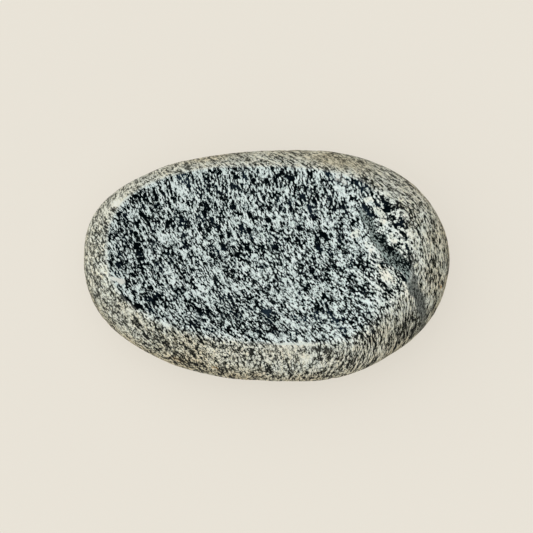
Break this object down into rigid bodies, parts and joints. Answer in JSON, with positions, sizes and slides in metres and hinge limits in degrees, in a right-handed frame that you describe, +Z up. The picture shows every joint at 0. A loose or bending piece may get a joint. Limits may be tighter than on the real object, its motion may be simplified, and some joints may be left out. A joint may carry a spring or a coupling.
{
  "type": "hollowed massage stone",
  "caption": "Palm-sized river stone of speckled grey rock with a shallow polished hollow in its upper side and a flat rest face below.",
  "frame": {"origin": "centre of the stone's outline, on the face it rests on", "axes": "+X along the length towards the broader end, +Y towards the back, +Z up, out of the hollow"},
  "size_m": [0.11, 0.0705, 0.0278],
  "materials": {
    "speckled_stone": "polished in the hollow, worn matt skin elsewhere; black and pale grey grains in slanting streaks"
  },
  "bodies": {
    "root": {"stone": "speckled_stone"}
  },
  "joints": []
}
